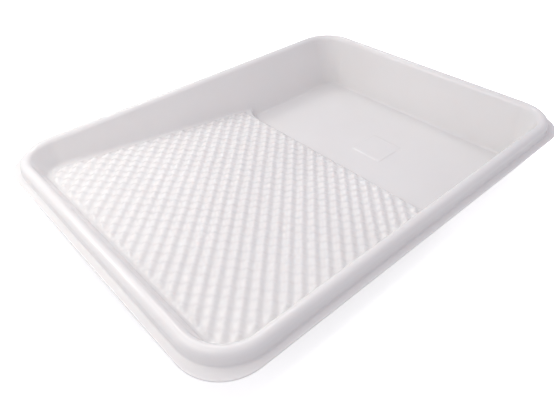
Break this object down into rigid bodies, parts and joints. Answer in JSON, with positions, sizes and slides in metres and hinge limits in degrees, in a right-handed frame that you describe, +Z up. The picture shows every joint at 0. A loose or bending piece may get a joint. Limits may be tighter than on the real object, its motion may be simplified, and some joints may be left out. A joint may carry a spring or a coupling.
{
  "type": "paint roller tray",
  "caption": "Rectangular one-piece plastic paint tray with a rounded bead rim and flat flange, a sloping bumpy rolling ramp and a deep flat-floored paint well.",
  "frame": {"origin": "centre of the tray's rectangular outline in plan, at table level (the plane of the well's underside and the feet)", "axes": "+Z up; +X along the length towards the deep end with the paint well; +Y towards one long side"},
  "size_m": [0.38, 0.288, 0.0546],
  "materials": {
    "white_plastic": "gloss"
  },
  "bodies": {
    "root": {"tray_shell": "white_plastic"}
  },
  "joints": []
}
